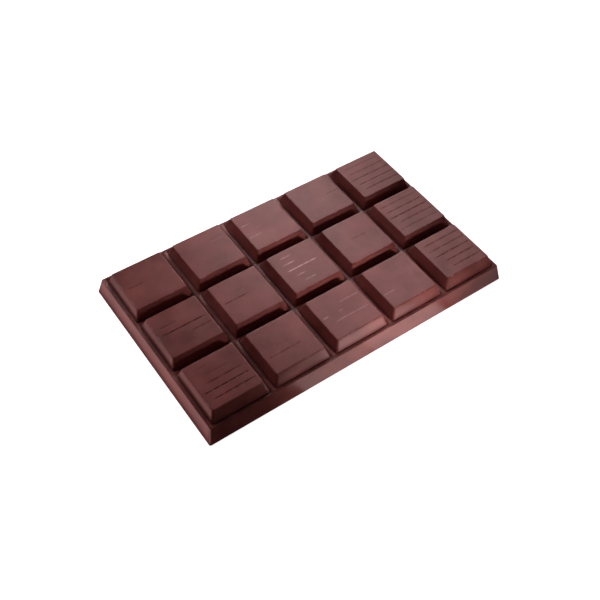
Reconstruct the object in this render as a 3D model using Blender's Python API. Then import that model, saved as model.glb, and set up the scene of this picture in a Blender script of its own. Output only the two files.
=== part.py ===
"""A moulded chocolate bar: a thin slab with sloping sides and a grid of raised blocks, all cast in one piece.

X runs along the bar, Y across it and Z up. The origin is the middle of the flat underside.
"""
import math

import bmesh
import bpy

# Driving dimensions, in metres
COLUMNS = 5
ROWS = 3
PITCH_X = 0.0220
PITCH_Y = 0.0216

SLAB_HEIGHT = 0.0063
SLAB_TOP_LENGTH = 0.1107
SLAB_TOP_WIDTH = 0.0661
SIDE_SLOPE_OUT = 0.0014
SLAB_CORNER_RADIUS = 0.0006
SLAB_TOP_ROUND = 0.0004
SLAB_FOOT_ROUND = 0.0002

BLOCK_HEIGHT = 0.0038
BLOCK_TOP_LENGTH = 0.0173
BLOCK_TOP_WIDTH = 0.0170
BLOCK_BASE_LENGTH = 0.0200
BLOCK_BASE_WIDTH = 0.0203
BLOCK_TOP_CORNER_RADIUS = 0.0005
BLOCK_BASE_CORNER_RADIUS = 0.0007
BLOCK_TOP_ROUND = 0.0003
BLOCK_SUNK_DEPTH = 0.0015

# How finely the rounds are divided
CORNER_STEPS = 6
EDGE_STEPS = 4

# The colour and finish of milk chocolate
CHOCOLATE_COLOUR = (0.107, 0.036, 0.034, 1.0)
CHOCOLATE_ROUGHNESS = 0.38


def clear_scene():
    for obj in list(bpy.data.objects):
        bpy.data.objects.remove(obj, do_unlink=True)


def chocolate_material():
    material = bpy.data.materials.new("chocolate")
    material.use_nodes = True
    shader = material.node_tree.nodes["Principled BSDF"]
    shader.inputs["Base Color"].default_value = CHOCOLATE_COLOUR
    shader.inputs["Roughness"].default_value = CHOCOLATE_ROUGHNESS
    shader.inputs["Metallic"].default_value = 0.0
    material.diffuse_color = CHOCOLATE_COLOUR
    return material


def rounded_rectangle(length, width, radius, z):
    """The outline of a rectangle with round corners, counter-clockwise as seen from above."""
    points = []
    for quarter in range(4):
        side_x = 1 if quarter in (0, 3) else -1
        side_y = 1 if quarter in (0, 1) else -1
        centre_x = side_x * (length / 2 - radius)
        centre_y = side_y * (width / 2 - radius)
        for step in range(CORNER_STEPS + 1):
            angle = math.pi / 2 * (quarter + step / CORNER_STEPS)
            x = centre_x + radius * math.cos(angle)
            y = centre_y + radius * math.sin(angle)
            points.append((x, y, z))
    return points


def quarter_round():
    """Steps round an edge, from the side to the top: the share of the radius still to rise, and the inset."""
    for step in range(EDGE_STEPS + 1):
        angle = math.pi / 2 * step / EDGE_STEPS
        yield 1 - math.sin(angle), 1 - math.cos(angle)


def loft(name, rings):
    """A closed solid through a stack of outlines, with a flat cap at each end."""
    mesh_data = bmesh.new()
    loops = []
    for ring in rings:
        loops.append([mesh_data.verts.new(point) for point in ring])
    for lower, upper in zip(loops, loops[1:]):
        count = len(lower)
        for index in range(count):
            following = (index + 1) % count
            mesh_data.faces.new((lower[index], lower[following], upper[following], upper[index]))
    mesh_data.faces.new(list(reversed(loops[0])))
    mesh_data.faces.new(loops[-1])
    mesh = bpy.data.meshes.new(name)
    mesh_data.to_mesh(mesh)
    mesh_data.free()
    return mesh


def slab_outline(z, inset=0.0):
    """The slab's outline at one height: the sides slope out towards the foot."""
    slope_out = SIDE_SLOPE_OUT * (1 - z / SLAB_HEIGHT)
    length = SLAB_TOP_LENGTH + 2 * slope_out - 2 * inset
    width = SLAB_TOP_WIDTH + 2 * slope_out - 2 * inset
    return rounded_rectangle(length, width, SLAB_CORNER_RADIUS, z)


def slab_mesh():
    rings = [slab_outline(0.0, SLAB_FOOT_ROUND), slab_outline(SLAB_FOOT_ROUND)]
    for rise, inset in quarter_round():
        z = SLAB_HEIGHT - SLAB_TOP_ROUND * rise
        rings.append(slab_outline(z, SLAB_TOP_ROUND * inset))
    return loft("slab", rings)


def block_outline(z, inset=0.0):
    """A block's outline at one height above the slab's top: the four sides lean in towards the top."""
    share = z / BLOCK_HEIGHT
    length = BLOCK_BASE_LENGTH + (BLOCK_TOP_LENGTH - BLOCK_BASE_LENGTH) * share
    width = BLOCK_BASE_WIDTH + (BLOCK_TOP_WIDTH - BLOCK_BASE_WIDTH) * share
    radius = BLOCK_BASE_CORNER_RADIUS + (BLOCK_TOP_CORNER_RADIUS - BLOCK_BASE_CORNER_RADIUS) * share
    return rounded_rectangle(length - 2 * inset, width - 2 * inset, radius, z)


def block_mesh():
    sunk_ring = [(x, y, -BLOCK_SUNK_DEPTH) for x, y, _ in block_outline(0.0)]
    rings = [sunk_ring, block_outline(0.0)]
    for rise, inset in quarter_round():
        z = BLOCK_HEIGHT - BLOCK_TOP_ROUND * rise
        rings.append(block_outline(z, BLOCK_TOP_ROUND * inset))
    return loft("block", rings)


def place(name, mesh, location, collection):
    obj = bpy.data.objects.new(name, mesh)
    obj.location = location
    collection.objects.link(obj)
    return obj


def block_places():
    for column in range(COLUMNS):
        for row in range(ROWS):
            x = (column - (COLUMNS - 1) / 2) * PITCH_X
            y = (row - (ROWS - 1) / 2) * PITCH_Y
            yield column, row, (x, y, SLAB_HEIGHT)


def join_blocks(bar, blocks):
    """Fuse the blocks to the slab in one union, then take the loose copies away."""
    union = bar.modifiers.new("cast_in_one", "BOOLEAN")
    union.operation = "UNION"
    union.operand_type = "COLLECTION"
    union.collection = blocks
    union.solver = "EXACT"
    graph = bpy.context.evaluated_depsgraph_get()
    fused = bpy.data.meshes.new_from_object(bar.evaluated_get(graph))
    bar.modifiers.clear()
    bar.data = fused
    for obj in list(blocks.objects):
        bpy.data.objects.remove(obj, do_unlink=True)
    bpy.data.collections.remove(blocks)


def main():
    clear_scene()
    scene_collection = bpy.context.scene.collection
    bar = place("chocolate_bar", slab_mesh(), (0, 0, 0), scene_collection)
    blocks = bpy.data.collections.new("blocks")
    scene_collection.children.link(blocks)
    shared_block = block_mesh()
    for column, row, location in block_places():
        place(f"block_{column}_{row}", shared_block, location, blocks)
    join_blocks(bar, blocks)
    bar.data.name = "chocolate_bar"
    bar.data.materials.clear()
    bar.data.materials.append(chocolate_material())
    bar.data.shade_smooth()
    bar.data.set_sharp_from_angle(angle=math.radians(35))


main()
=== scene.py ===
"""The looks of a moulded chocolate bar: a finely modelled casting, its chocolate, a floor and soft light."""
import math

import bpy
import numpy as np
from mathutils import Matrix, Vector


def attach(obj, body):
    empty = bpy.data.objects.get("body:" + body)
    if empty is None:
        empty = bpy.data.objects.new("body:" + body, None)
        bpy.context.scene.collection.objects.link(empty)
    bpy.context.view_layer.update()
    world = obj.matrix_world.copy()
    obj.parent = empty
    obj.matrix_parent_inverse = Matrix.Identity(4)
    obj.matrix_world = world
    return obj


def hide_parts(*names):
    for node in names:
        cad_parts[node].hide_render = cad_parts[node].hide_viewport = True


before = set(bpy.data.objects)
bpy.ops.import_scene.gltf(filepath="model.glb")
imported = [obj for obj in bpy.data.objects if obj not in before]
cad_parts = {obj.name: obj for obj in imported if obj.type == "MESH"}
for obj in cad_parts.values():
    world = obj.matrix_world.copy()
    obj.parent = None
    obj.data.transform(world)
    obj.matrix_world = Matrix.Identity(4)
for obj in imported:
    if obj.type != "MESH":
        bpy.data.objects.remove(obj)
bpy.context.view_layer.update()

MM = 0.001
NODE = "chocolate_bar"

# The casting's sizes, in millimetres, as in the CAD but for a crisper edge round the slab's top
COLUMNS, ROWS = 5, 3
PITCH = (22.0, 21.6)
SLAB_HEIGHT = 6.3
SLAB_TOP = (110.7, 66.1)
SIDE_SLOPE_OUT = 1.4
SLAB_CORNER_RADIUS = 0.6
SLAB_TOP_ROUND = 0.3
SLAB_FOOT_ROUND = 0.2
BLOCK_HEIGHT = 3.8
BLOCK_TOP = (17.3, 17.0)
BLOCK_BASE = (20.0, 20.3)
BLOCK_BASE_CORNER = 0.7
BLOCK_TOP_CORNER = 0.5
BLOCK_TOP_ROUND = 0.3

# The crease round each block's foot, from the groove floor inwards: how far out it lies and how deep,
# and how much painted shade each ring of vertices gets from there up the side
FOOT_CREASE = ((0.55, 0.0), (0.40, 0.03), (0.15, 0.12), (0.0, 0.12))
CREASE_PAINTED_SHADE = (0.0, 0.15, 0.55, 0.5, 0.2)
# The thin groove on the ledge along the slab's rim: how far in it lies and how deep
RIM_GROOVE = ((0.42, 0.01), (0.55, 0.07), (0.68, 0.07), (0.80, 0.02), (0.92, 0.02))

# How finely the casting is divided
BLOCK_SIDE_SHARES = (0.04, 0.33, 0.67)
BLOCK_ROUND_STEPS = 5
RIM_ROUND_STEPS = 4
FOOT_ROUND_STEPS = 3
SLAB_SIDE_STEPS = 7
LINES_ALONG_TOP = 34
FLAT_TOP_MARGIN = 0.375
UNDERSIDE_INSET = 1.2
# The share of the slab's slope that is used, which keeps the casting a hair inside the CAD
SLOPE_USED = 0.98

# The fine lines that the mould leaves along each block's top, numbered from the back to the front
LINES_PER_BLOCK = 5
LINE_PITCH = 2.83
LINE_SHIFT = 0.25
LINE_HALF_WIDTH = 0.21
LINE_SECTION = (-1.6, -1.0, -0.5, 0.0, 0.5, 1.0, 1.6)
LINE_TONE_REACH = 1.4
LINE_FADE = 0.06
CUT_DEPTH = 0.05
RIDGE_HEIGHT = 0.015
FAINT_LINE = 0.12
# How much of a marked line there is on average and at least, and how deeply and how fast it comes and goes
LINE_PRESENCE = 0.8
LEAST_PRESENCE = 0.3
LINE_BREAKS = ((0.25, 18, 40), (0.2, 50, 80))
ANY_PHASE = 6.3

# How strong the painted highlight along the blocks' top edges is, and how uneven the poured surface is, in
# millimetres
EDGE_PAINTED_HIGHLIGHT = 0.45
UNEVEN = 0.012

# Where a block's lines show: the line, where it starts and ends across the top, and its strength;
# above zero it is a cut with painted shade in it, and below zero a low ridge with a painted highlight on it
LINE_MARKS = {
    (0, 2): [(3, 0.07, 0.42, 0.45)],
    (0, 1): [(2, 0.08, 0.45, 0.45), (3, 0.04, 0.95, 0.95), (4, 0.55, 0.97, 0.6), (5, 0.3, 0.6, 0.2)],
    (0, 0): [(1, 0.1, 0.4, 0.3), (2, 0.25, 0.75, 0.35), (3, 0.2, 0.9, 0.65), (4, 0.02, 0.95, 0.85),
             (5, 0.1, 0.98, 0.75)],
    (1, 2): [(2, 0.6, 0.95, -0.2)],
    (1, 1): [(2, 0.3, 0.6, 0.2), (3, 0.04, 0.60, 0.6)],
    (1, 0): [(3, 0.3, 0.6, 0.2), (4, 0.05, 0.75, 0.45)],
    (2, 2): [(2, 0.02, 0.25, -0.6), (3, 0.30, 0.42, -0.4), (4, 0.02, 0.33, -0.6)],
    (2, 1): [(1, 0.2, 0.47, -0.7), (2, 0.15, 0.43, -1.0), (3, 0.15, 0.82, -1.3), (4, 0.25, 0.45, -0.9),
             (5, 0.32, 0.6, -0.6)],
    (2, 0): [(2, 0.52, 0.98, -0.4), (3, 0.04, 0.2, -0.6), (3, 0.37, 0.5, -0.4), (4, 0.2, 0.95, -0.4)],
    (3, 2): [(3, 0.65, 1.0, 0.4)],
    (3, 1): [(3, 0.35, 0.72, 0.4)],
    (3, 0): [(1, 0.38, 0.58, 0.2), (4, 0.02, 0.3, -0.3)],
    (4, 2): [(1, 0.1, 0.95, 0.45), (2, 0.1, 0.98, 0.7), (3, 0.03, 1.0, 0.8), (4, 0.1, 1.0, 0.8),
             (5, 0.15, 1.0, 0.8)],
    (4, 1): [(1, 0.03, 0.95, 0.45), (2, 0.05, 0.95, 0.6), (3, 0.02, 0.98, 0.8), (4, 0.15, 0.98, 0.55),
             (5, 0.03, 0.95, 0.4)],
    (4, 0): [(1, 0.1, 0.98, 0.5), (2, 0.1, 0.98, 0.5), (3, 0.1, 0.98, 0.6), (4, 0.25, 0.95, 0.65),
             (5, 0.28, 0.98, 0.55)],
}


# The casting's outlines

def block_side_profile():
    """The block's side from the groove floor to the flat top, as (share of the lean, height) pairs."""
    lean = (BLOCK_BASE[0] - BLOCK_TOP[0] + BLOCK_BASE[1] - BLOCK_TOP[1]) / 4
    slope = math.atan2(BLOCK_HEIGHT, lean)
    reach = math.tan(slope / 2)
    points = [(-outset / lean, -depth) for outset, depth in FOOT_CREASE]
    rounding = []
    for step in range(BLOCK_ROUND_STEPS + 1):
        turn = slope * (1 - step / BLOCK_ROUND_STEPS)
        inset = lean + BLOCK_TOP_ROUND * reach - BLOCK_TOP_ROUND * math.sin(turn)
        rounding.append((inset / lean, BLOCK_HEIGHT - BLOCK_TOP_ROUND * (1 - math.cos(turn))))
    foot_end, top_start = points[-1], rounding[0]
    for share in BLOCK_SIDE_SHARES:
        points.append(tuple(a + (b - a) * share for a, b in zip(foot_end, top_start)))
    return points + rounding


def rim_profile():
    """The slab's top edge and the groove beside it, from the side inwards, as (inset, drop) pairs."""
    points = []
    for step in range(RIM_ROUND_STEPS + 1):
        turn = math.pi / 2 * step / RIM_ROUND_STEPS
        points.append((SLAB_TOP_ROUND * (1 - math.cos(turn)), SLAB_TOP_ROUND * (1 - math.sin(turn))))
    return points + list(RIM_GROOVE)


def slab_side_levels():
    """The slab's side from its top round down to the underside, as (outset, height) pairs."""
    levels = []
    start = SLAB_HEIGHT - SLAB_TOP_ROUND
    for z in np.linspace(start, SLAB_FOOT_ROUND, SLAB_SIDE_STEPS + 1)[1:]:
        levels.append((SIDE_SLOPE_OUT * (start - z) / start * SLOPE_USED, z))
    foot_out = levels[-1][0]
    for step in range(1, FOOT_ROUND_STEPS + 1):
        turn = math.pi / 2 * step / FOOT_ROUND_STEPS
        outset = foot_out - SLAB_FOOT_ROUND * (1 - math.cos(turn))
        levels.append((outset, SLAB_FOOT_ROUND * (1 - math.sin(turn))))
    levels.append((levels[-1][0] - UNDERSIDE_INSET, 0.0))
    return levels


BLOCK_PROFILE = block_side_profile()
TOP_RING = len(BLOCK_PROFILE) - 1
RIM_PROFILE = rim_profile()


# The casting's top, as one grid of vertices

def block_centre(index, axis):
    """The middle of a block along one axis, by its column or row."""
    return (index - ((COLUMNS, ROWS)[axis] - 1) / 2) * PITCH[axis]


def lines_along_top():
    """Grid places along X on one block's flat top, from its centre."""
    reach = BLOCK_TOP[0] / 2 - FLAT_TOP_MARGIN
    return [float(place) for place in np.linspace(-reach, reach, LINES_ALONG_TOP)]


def lines_across_top():
    """The same along Y, closer together where the mould's fine lines run."""
    reach = BLOCK_TOP[1] / 2 - FLAT_TOP_MARGIN
    places = {-reach, reach}
    for index in range(LINES_PER_BLOCK):
        centre = LINE_SHIFT + (index - (LINES_PER_BLOCK - 1) / 2) * LINE_PITCH
        for share in LINE_SECTION:
            places.add(centre + share * LINE_HALF_WIDTH)
        places.add(centre + LINE_PITCH / 2)
    places.add(-LINE_PITCH * LINES_PER_BLOCK / 2)
    return sorted(place for place in places if abs(place) <= reach)


def grid_lines(axis):
    """The grid lines on one axis: each one's place, block, ring up that block's side and ring on the rim.

    The block or ring is -1 where a line lies on none.
    """
    count = (COLUMNS, ROWS)[axis]
    half_slab = SLAB_TOP[axis] / 2
    half_base = BLOCK_BASE[axis] / 2
    lean = (BLOCK_BASE[axis] - BLOCK_TOP[axis]) / 2
    lines = []
    for ring, (inset, _) in enumerate(RIM_PROFILE):
        lines.append((-half_slab + inset, -1, -1, ring))
    for block in range(count):
        centre = block_centre(block, axis)
        if block > 0:
            lines.append((centre - PITCH[axis] / 2, -1, -1, -1))
        for ring, (share, _) in enumerate(BLOCK_PROFILE):
            lines.append((centre - half_base + share * lean, block, ring, -1))
        for place in (lines_along_top, lines_across_top)[axis]():
            lines.append((centre + place, block, TOP_RING + 1, -1))
        for ring, (share, _) in reversed(list(enumerate(BLOCK_PROFILE))):
            lines.append((centre + half_base - share * lean, block, ring, -1))
    for ring, (inset, _) in reversed(list(enumerate(RIM_PROFILE))):
        lines.append((half_slab - inset, -1, -1, ring))
    return [np.array(values) for values in zip(*lines)]


def round_corner(along, corner_along, radius):
    """How far a vertex moves along its ring and inwards, where the ring turns a round corner."""
    distance = np.abs(along - corner_along)
    turn = math.pi / 4 * (1 - np.clip(distance / radius, 0, 1))
    inside = distance < radius
    new_distance = np.where(inside, radius * (1 - np.sin(turn)), distance)
    inwards = np.where(inside, radius * (1 - np.cos(turn)), 0.0)
    return new_distance, inwards


def turn_corners(x, y, centre, half, radius, on_side):
    """Bend the corners of rings round, for the vertices on the rings' sides across X and across Y."""
    side_x, side_y = np.sign(x - centre[0]), np.sign(y - centre[1])
    along, inwards = round_corner(y, centre[1] + side_y * half[1], radius)
    new_y = np.where(on_side[0], centre[1] + side_y * (half[1] - along), y)
    new_x = np.where(on_side[0], x - side_x * inwards, x)
    along, inwards = round_corner(x, centre[0] + side_x * half[0], radius)
    new_x = np.where(on_side[1], centre[0] + side_x * (half[0] - along), new_x)
    new_y = np.where(on_side[1], y - side_y * inwards, new_y)
    return new_x, new_y


def raise_blocks(x, y, block, ring):
    """The blocks' heights over the slab and their round corners, and which ring each vertex is on."""
    on_block = (block[0] >= 0) & (block[1] >= 0)
    nearest = np.minimum(np.minimum(ring[0], ring[1]), TOP_RING)
    nearest = np.where(on_block, nearest, 0)
    share, height = np.moveaxis(np.array(BLOCK_PROFILE)[nearest], -1, 0)
    z = np.where(on_block, SLAB_HEIGHT + height, SLAB_HEIGHT)
    lean = [(BLOCK_BASE[axis] - BLOCK_TOP[axis]) / 2 for axis in (0, 1)]
    centre = [block_centre(block[axis], axis) for axis in (0, 1)]
    half = [BLOCK_BASE[axis] / 2 - share * lean[axis] for axis in (0, 1)]
    rise = np.clip(height / BLOCK_HEIGHT, 0, 1)
    radius = BLOCK_BASE_CORNER + (BLOCK_TOP_CORNER - BLOCK_BASE_CORNER) * rise
    radius = radius - np.clip(share - 1, 0, None) * lean[0]
    on_side = [on_block & (ring[axis] <= ring[1 - axis]) & (ring[axis] <= TOP_RING) for axis in (0, 1)]
    x, y = turn_corners(x, y, centre, half, radius, on_side)
    return x, y, z, nearest, on_block


def shape_rim(x, y, z, rim):
    """The round and the groove along the slab's rim, with its corners."""
    count = len(RIM_PROFILE)
    rim = [np.where(rings < 0, count, rings) for rings in rim]
    nearest = np.minimum(rim[0], rim[1])
    on_rim = nearest < count
    inset, drop = np.moveaxis(np.array(RIM_PROFILE)[np.minimum(nearest, count - 1)], -1, 0)
    z = np.where(on_rim, SLAB_HEIGHT - drop, z)
    half = [SLAB_TOP[axis] / 2 - inset for axis in (0, 1)]
    on_side = [on_rim & (rim[axis] <= rim[1 - axis]) for axis in (0, 1)]
    x, y = turn_corners(x, y, (0, 0), half, SLAB_CORNER_RADIUS - inset, on_side)
    return x, y, z


def smooth_waves(x, y, seed, wavelength, amplitude, count=9):
    """A smooth, seeded unevenness: a few sine waves in random directions."""
    draw = np.random.default_rng(seed)
    total = np.zeros_like(x)
    for _ in range(count):
        direction = draw.uniform(0, 2 * math.pi)
        length = wavelength * draw.uniform(0.6, 1.6)
        phase = draw.uniform(0, 2 * math.pi)
        distance = x * math.cos(direction) + y * math.sin(direction)
        total += np.sin(distance * 2 * math.pi / length + phase)
    return amplitude * total / math.sqrt(count)


def surface_waves(x, y):
    """The poured surface's unevenness, low enough for its crests to stay under the CAD's top."""
    long_waves = smooth_waves(x, y, seed=5, wavelength=7.0, amplitude=UNEVEN * 0.6)
    short_waves = smooth_waves(x, y, seed=6, wavelength=1.6, amplitude=UNEVEN * 0.12)
    return long_waves + short_waves - UNEVEN * 1.8


def painted_crease_shade_and_edge_highlight(x, y, ring, on_block):
    """Painted shade in the creases at the blocks' feet, and painted highlights in broken dashes along the
    edges of their tops.
    """
    # Painted shade: the rings at each block's foot are darkened to stand for the shade in the crease
    tones = np.zeros(TOP_RING + 1)
    tones[: len(CREASE_PAINTED_SHADE)] = CREASE_PAINTED_SHADE
    tone = np.where(on_block, tones[ring], 0.0)
    # Painted highlight: pale, broken dashes along the rounds of the blocks' top edges
    highlight_dashes = np.clip(smooth_waves(x, y, seed=11, wavelength=1.4, amplitude=1.0) - 0.2, 0, 1)
    highlight_stretches = np.clip(smooth_waves(x, y, seed=12, wavelength=9.0, amplitude=1.0) + 0.4, 0, 1)
    at_edge = on_block & (ring >= TOP_RING - 3) & (ring < TOP_RING)
    return tone - np.where(at_edge, highlight_dashes * highlight_stretches * EDGE_PAINTED_HIGHLIGHT, 0.0)


def line_strength(share, column, row, line):
    """A line's strength across a block's top, by its marks, which fade at their ends and come and go."""
    draw = np.random.default_rng(1000 * column + 100 * row + line)
    total = np.zeros_like(share)
    for marked, start, end, strength in LINE_MARKS[column, row]:
        if marked == line:
            fade = np.clip((share - start) / LINE_FADE, 0, 1) * np.clip((end - share) / LINE_FADE, 0, 1)
            presence = LINE_PRESENCE
            for depth, slowest, quickest in LINE_BREAKS:
                speed, phase = draw.uniform(slowest, quickest), draw.uniform(0, ANY_PHASE)
                presence = presence + depth * np.sin(share * speed + phase)
            total += strength * fade * np.clip(presence, LEAST_PRESENCE, 1)
    return total


def press_lines(x, y, z, tone, block, ring):
    """Press the fine lines into the blocks' flat tops, and note the painted shade or painted highlight along
    them.
    """
    flat = (ring[0] > TOP_RING) & (ring[1] > TOP_RING)
    for column, row in LINE_MARKS:
        here = flat & (block[0] == column) & (block[1] == row)
        share = (x - block_centre(column, 0)) / BLOCK_TOP[0] + 0.5
        for line in range(1, LINES_PER_BLOCK + 1):
            line_y = block_centre(row, 1) + LINE_SHIFT + ((LINES_PER_BLOCK + 1) / 2 - line) * LINE_PITCH
            away = np.abs(y - line_y) / LINE_HALF_WIDTH
            strength = line_strength(share, column, row, line)
            depth = CUT_DEPTH * (np.clip(strength, 0, 1) + FAINT_LINE)
            depth += RIDGE_HEIGHT * np.clip(strength, -1, 0)
            z = np.where(here, z - depth * np.clip(1 - away, 0, 1), z)
            # Painted shade along the cuts and painted highlight along the ridges, reaching a little past
            # each line
            tone = np.where(here, tone + strength * np.clip(LINE_TONE_REACH - away, 0, 1), tone)
    return z, tone


def top_surface():
    """The ledge, grooves and blocks as one grid of vertices: X, Y, Z and tone, indexed by grid line."""
    pairs = zip(grid_lines(0), grid_lines(1))
    (x, y), block, ring, rim = [np.meshgrid(on_x, on_y, indexing="ij") for on_x, on_y in pairs]
    x, y, z, side_ring, on_block = raise_blocks(x, y, block, ring)
    x, y, z = shape_rim(x, y, z, rim)
    z = z + surface_waves(x, y)
    tone = painted_crease_shade_and_edge_highlight(x, y, side_ring, on_block)
    z, tone = press_lines(x, y, z, tone, block, ring)
    return x, y, z, tone


# The casting's sides, and the whole mesh

def boundary_loop(index):
    """The grid's outermost vertices, counter-clockwise as seen from above."""
    return np.concatenate([index[:-1, 0], index[-1, :-1], index[:0:-1, -1], index[0, :0:-1]])


def grown_outline(outline, outset):
    """The slab's outline set out by one distance, with corners that keep their radius."""
    grown = np.empty_like(outline)
    for axis in (0, 1):
        straight = SLAB_TOP[axis] / 2 - SLAB_CORNER_RADIUS
        reach = np.abs(outline[:, axis])
        stretched = np.where(reach <= straight, reach * (straight + outset) / straight, reach + outset)
        grown[:, axis] = np.sign(outline[:, axis]) * stretched
    return grown


def casting_mesh():
    """The whole bar as one closed mesh: the top's grid, rings down the slab's sides, and the underside."""
    x, y, z, tone = top_surface()
    vertices = np.stack([x, y, z], axis=-1).reshape(-1, 3)
    index = np.arange(len(vertices)).reshape(x.shape)
    corners = [index[:-1, :-1], index[1:, :-1], index[1:, 1:], index[:-1, 1:]]
    layers = [vertices]
    faces = [np.stack(corners, axis=-1).reshape(-1, 4)]
    ring = boundary_loop(index)
    outline = vertices[ring][:, :2]
    total = len(vertices)
    for outset, level in slab_side_levels():
        layers.append(np.column_stack([grown_outline(outline, outset), np.full(len(ring), level)]))
        lower = np.arange(total, total + len(ring))
        faces.append(np.stack([ring, lower, np.roll(lower, -1), np.roll(ring, -1)], axis=-1))
        total += len(ring)
        ring = lower
    polygons = np.concatenate(faces).tolist()
    polygons.append(ring[::-1].tolist())
    mesh = bpy.data.meshes.new("chocolate_casting")
    mesh.from_pydata((np.concatenate(layers) * MM).tolist(), [], polygons)
    # Each vertex's painted shade (above zero) or painted highlight (below zero), for the material
    tones = np.zeros(total, np.float32)
    tones[: tone.size] = tone.reshape(-1)
    mesh.attributes.new("painted_shade_and_highlight", "FLOAT", "POINT").data.foreach_set("value", tones)
    mesh.validate()
    mesh.shade_smooth()
    mesh.update()
    return mesh


# The chocolate: colours, and the noise that clouds its colour, varies its sheen and gives it a grain

CHOCOLATE_DARK = (0.115, 0.026, 0.023, 1)
CHOCOLATE_LIGHT = (0.220, 0.062, 0.054, 1)
# The painted shade colour for cuts and creases, and the painted highlight colour for ridges and top edges
PAINTED_SHADE_COLOUR = (0.020, 0.005, 0.005, 1)
PAINTED_HIGHLIGHT_COLOUR = (0.60, 0.43, 0.39, 1)
FULL_PAINTED_SHADE_TONE = 0.9
FULL_PAINTED_HIGHLIGHT_TONE = -1.0
PAINTED_HIGHLIGHT_COVER = 0.75
GLOSS_TINT = (1.0, 0.87, 0.87, 1)
GLOSS_LEVEL = 0.45
GLOSS_LEVEL_IN_PAINTED_SHADE = 0.08
DULLEST_PAINTED_SHADE = 0.7
SMOOTHEST, ROUGHEST = 0.28, 0.35
CLOUD_SCALE = 90.0
SHEEN_SCALE = 70.0
GRAIN_SCALE = 1400.0
GRAIN_STRENGTH = 0.06
GRAIN_HEIGHT = 0.2 * MM
# How strong a noise's finer detail is, and the values between which nearly all of it lies
NOISE_ROUGHNESS = 0.55
NOISE_LOW, NOISE_HIGH = 0.3, 0.7


class Nodes:
    """A short way to make and join a material's nodes."""

    def __init__(self, material):
        material.use_nodes = True
        self.tree = material.node_tree
        self.shader = self.tree.nodes["Principled BSDF"]

    def add(self, kind, inputs=None, **settings):
        """Add a node, with its settings, and give or join its inputs."""
        node = self.tree.nodes.new(kind)
        for name, value in settings.items():
            setattr(node, name, value)
        for name, value in (inputs or {}).items():
            self.feed(node.inputs[name], value)
        return node

    def feed(self, socket, value):
        """Give a socket a value, or join it to another node's output."""
        if isinstance(value, bpy.types.NodeSocket):
            self.tree.links.new(value, socket)
        else:
            socket.default_value = value

    def noise(self, place, scale, detail):
        inputs = {"Vector": place, "Scale": scale, "Detail": detail, "Roughness": NOISE_ROUGHNESS}
        return self.add("ShaderNodeTexNoise", inputs).outputs["Fac"]

    def spread(self, value, low, high, to_low=0.0, to_high=1.0):
        """Map a range of values to another, and hold what lies outside at its ends."""
        inputs = {"Value": value, "From Min": low, "From Max": high, "To Min": to_low, "To Max": to_high}
        return self.add("ShaderNodeMapRange", inputs, clamp=True).outputs["Result"]

    def mix(self, share, first, second):
        """Mix two colours."""
        node = self.add("ShaderNodeMix", data_type="RGBA")
        for name, value in (("Factor", share), ("A", first), ("B", second)):
            self.feed([socket for socket in node.inputs if socket.name == name and socket.enabled][0], value)
        return [socket for socket in node.outputs if socket.enabled][0]


def chocolate_material():
    """Milk chocolate from a smooth mould: mottled and satin, with painted shade in its cuts and creases and
    painted highlights on its lines and edges.
    """
    material = bpy.data.materials.new("milk_chocolate")
    nodes = Nodes(material)
    surface = nodes.shader.inputs
    place = nodes.add("ShaderNodeTexCoord").outputs["Object"]
    tone = nodes.add("ShaderNodeAttribute", attribute_name="painted_shade_and_highlight").outputs["Fac"]
    # Painted shade: darkens the colour and dulls the gloss where the tone stands for shade in cuts and
    # creases
    painted_shade = nodes.spread(tone, 0.0, FULL_PAINTED_SHADE_TONE)
    # Painted highlight: lightens the colour where the tone stands for glints on ridges and top edges
    painted_highlight = nodes.spread(tone, 0.0, FULL_PAINTED_HIGHLIGHT_TONE, 0.0, PAINTED_HIGHLIGHT_COVER)
    cloud = nodes.spread(nodes.noise(place, CLOUD_SCALE, detail=5.0), NOISE_LOW, NOISE_HIGH)
    colour = nodes.mix(cloud, CHOCOLATE_DARK, CHOCOLATE_LIGHT)
    colour = nodes.mix(painted_shade, colour, PAINTED_SHADE_COLOUR)
    nodes.feed(surface["Base Color"], nodes.mix(painted_highlight, colour, PAINTED_HIGHLIGHT_COLOUR))
    nodes.feed(surface["Specular Tint"], GLOSS_TINT)
    gloss = nodes.spread(painted_shade, 0.0, DULLEST_PAINTED_SHADE, GLOSS_LEVEL, GLOSS_LEVEL_IN_PAINTED_SHADE)
    nodes.feed(surface["Specular IOR Level"], gloss)
    sheen = nodes.noise(place, SHEEN_SCALE, detail=4.0)
    nodes.feed(surface["Roughness"], nodes.spread(sheen, NOISE_LOW, NOISE_HIGH, SMOOTHEST, ROUGHEST))
    grain = nodes.noise(place, GRAIN_SCALE, detail=2.0)
    bump = {"Height": grain, "Strength": GRAIN_STRENGTH, "Distance": GRAIN_HEIGHT}
    nodes.feed(surface["Normal"], nodes.add("ShaderNodeBump", bump).outputs["Normal"])
    return material


# The camera, as the photograph's view: angles in degrees, lengths in millimetres

CAMERA_AZIMUTH = -37.766
CAMERA_ELEVATION = 51.492
CAMERA_ROLL = 3.246
CAMERA_DISTANCE = 278.853
CAMERA_TARGET = (-9.15, -11.172, SLAB_HEIGHT + BLOCK_HEIGHT)
PICTURE_WIDTH_PIXELS = 600
FOCAL_LENGTH_PIXELS = 898.742
SENSOR_WIDTH = 36.0


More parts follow.
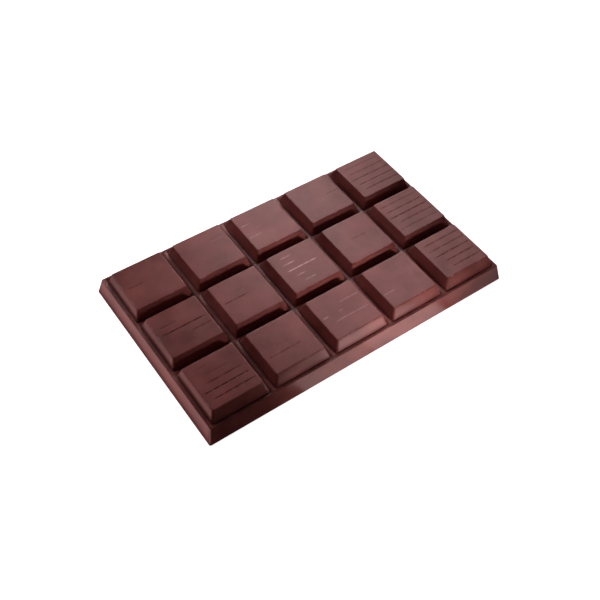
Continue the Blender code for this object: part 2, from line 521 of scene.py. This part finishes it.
def camera_matrix():
    """The camera looks down on the bar from its front left, turned a little about its line of sight."""
    azimuth, elevation, roll = map(math.radians, (CAMERA_AZIMUTH, CAMERA_ELEVATION, CAMERA_ROLL))
    back = Vector((
        math.sin(azimuth) * math.cos(elevation),
        -math.cos(azimuth) * math.cos(elevation),
        math.sin(elevation),
    ))
    level_right = (-back).cross(Vector((0, 0, 1))).normalized()
    level_up = level_right.cross(-back)
    right = level_right * math.cos(roll) + level_up * math.sin(roll)
    up = level_up * math.cos(roll) - level_right * math.sin(roll)
    place = (Vector(CAMERA_TARGET) + back * CAMERA_DISTANCE) * MM
    return Matrix.Translation(place) @ Matrix((right, up, back)).transposed().to_4x4()


def add_camera():
    data = bpy.data.cameras.new("camera")
    data.sensor_width = SENSOR_WIDTH
    data.lens = FOCAL_LENGTH_PIXELS / PICTURE_WIDTH_PIXELS * SENSOR_WIDTH
    data.clip_start = 0.01
    data.clip_end = 20
    camera = bpy.data.objects.new("camera", data)
    camera.matrix_world = camera_matrix()
    bpy.context.scene.collection.objects.link(camera)
    bpy.context.scene.camera = camera


# The floor and the light

FLOOR_HALF = 3000 * MM
WORLD_LIGHT_ON_BAR = 0.005

NEUTRAL = (1.0, 0.98, 0.98)
WARM = (1.0, 0.84, 0.84)
WARMER = (1.0, 0.75, 0.75)
WARMED_BY_CHOCOLATE = (1.0, 0.57, 0.56)

# Soft lights, aimed at the bar's middle: place and size in millimetres, power in watts, colour
SOFT_LIGHTS = {
    "back_right": ((188, 329, 128), (170, 170), 0.85, WARMER),
    "back_left": ((-185, 262, 239), (170, 170), 0.56, WARM),
    "overhead_right": ((271, 197, 497), (90, 90), 0.17, WARM),
    "overhead_back": ((257, 328, 432), (90, 90), 0.15, WARM),
    "overhead_middle": ((208, 361, 432), (90, 90), 0.15, WARM),
    "overhead_side": ((337, 245, 432), (90, 90), 0.15, WARM),
}
# Narrow beams from the front right, which reach the upper part of the blocks' front sides: size, power
# and spread in degrees
BEAM_PLACE, BEAM_AIM = (184, -410, 150), (9, -18, 8)
BEAMS = {"front_beam_wide": ((150, 50), 0.0030, 18), "front_beam": ((50, 18), 0.0059, 9)}
# A small card in front of the bar
FRONT_CARD = ((8, -90, 25), (30, 30), 0.0086)
# What the floor sends back up to the bar's sides, from just under it
FLOOR_BOUNCES = {
    "bounce_front_far": ((21, -75, -2), (41, 30), 0.0180, NEUTRAL),
    "bounce_front": ((20, -48, -2), (30, 24), 0.0038, NEUTRAL),
    "bounce_front_right": ((52, -48, -2), (26, 24), 0.0008, NEUTRAL),
    "bounce_front_left": ((-9, -48, -2), (26, 24), 0.0023, NEUTRAL),
    "bounce_left": ((-67, 4, -2), (14, 90), 0.0070, WARMED_BY_CHOCOLATE),
    "bounce_left_near": ((-67, -50, -2), (14, 28), 0.0006, WARMED_BY_CHOCOLATE),
}


def pale_floor_material():
    material = bpy.data.materials.new("pale_floor")
    material.use_nodes = True
    surface = material.node_tree.nodes["Principled BSDF"].inputs
    surface["Base Color"].default_value = (0.9, 0.9, 0.9, 1)
    surface["Roughness"].default_value = 0.9
    surface["Emission Color"].default_value = (1, 1, 1, 1)
    surface["Emission Strength"].default_value = 1.0
    return material


def add_floor():
    """The pale floor, bright enough to be white. It lets the lights below it through to the bar's sides."""
    corners = [(x * FLOOR_HALF, y * FLOOR_HALF, 0) for x, y in ((-1, -1), (1, -1), (1, 1), (-1, 1))]
    mesh = bpy.data.meshes.new("floor")
    mesh.from_pydata(corners, [], [(0, 1, 2, 3)])
    mesh.materials.append(pale_floor_material())
    floor = bpy.data.objects.new("floor", mesh)
    floor.visible_diffuse = False
    floor.visible_glossy = False
    floor.visible_shadow = False
    bpy.context.scene.collection.objects.link(floor)


def add_soft_light(name, place, direction, size, power, colour=NEUTRAL, spread=180, in_gloss=True):
    data = bpy.data.lights.new(name, "AREA")
    data.shape = "RECTANGLE"
    data.size, data.size_y = [side * MM for side in size]
    data.energy = power
    data.color = colour
    data.spread = math.radians(spread)
    light = bpy.data.objects.new(name, data)
    light.location = Vector(place) * MM
    light.rotation_euler = Vector(direction).to_track_quat("-Z", "Y").to_euler()
    light.visible_camera = False
    light.visible_glossy = in_gloss
    bpy.context.scene.collection.objects.link(light)


def add_lights():
    for name, (place, size, power, colour) in SOFT_LIGHTS.items():
        add_soft_light(name, place, -Vector(place), size, power, colour)
    beam_direction = Vector(BEAM_AIM) - Vector(BEAM_PLACE)
    for name, (size, power, spread) in BEAMS.items():
        add_soft_light(name, BEAM_PLACE, beam_direction, size, power, spread=spread, in_gloss=False)
    place, size, power = FRONT_CARD
    add_soft_light("front_card", place, (0, 1, 0), size, power, in_gloss=False)
    for name, (place, size, power, colour) in FLOOR_BOUNCES.items():
        add_soft_light(name, place, (0, 0, 1), size, power, colour)


def add_world():
    """A white studio to the camera, and next to no light from it on the bar."""
    world = bpy.data.worlds.new("studio")
    world.use_nodes = True
    nodes, links = world.node_tree.nodes, world.node_tree.links
    path = nodes.new("ShaderNodeLightPath")
    strength = nodes.new("ShaderNodeMapRange")
    links.new(path.outputs["Is Camera Ray"], strength.inputs["Value"])
    strength.inputs["To Min"].default_value = WORLD_LIGHT_ON_BAR
    strength.inputs["To Max"].default_value = 1.0
    background = nodes["Background"]
    background.inputs["Color"].default_value = (1, 1, 1, 1)
    links.new(strength.outputs["Result"], background.inputs["Strength"])
    bpy.context.scene.world = world


def add_bar():
    """The casting, which stands for the CAD's plain bar."""
    bar = bpy.data.objects.new("chocolate_casting", casting_mesh())
    bpy.context.scene.collection.objects.link(bar)
    bar.data.materials.append(chocolate_material())
    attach(bar, "root")
    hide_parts(NODE)


def main():
    add_bar()
    add_camera()
    add_floor()
    add_lights()
    add_world()
    bpy.context.scene.view_settings.view_transform = "Standard"


main()
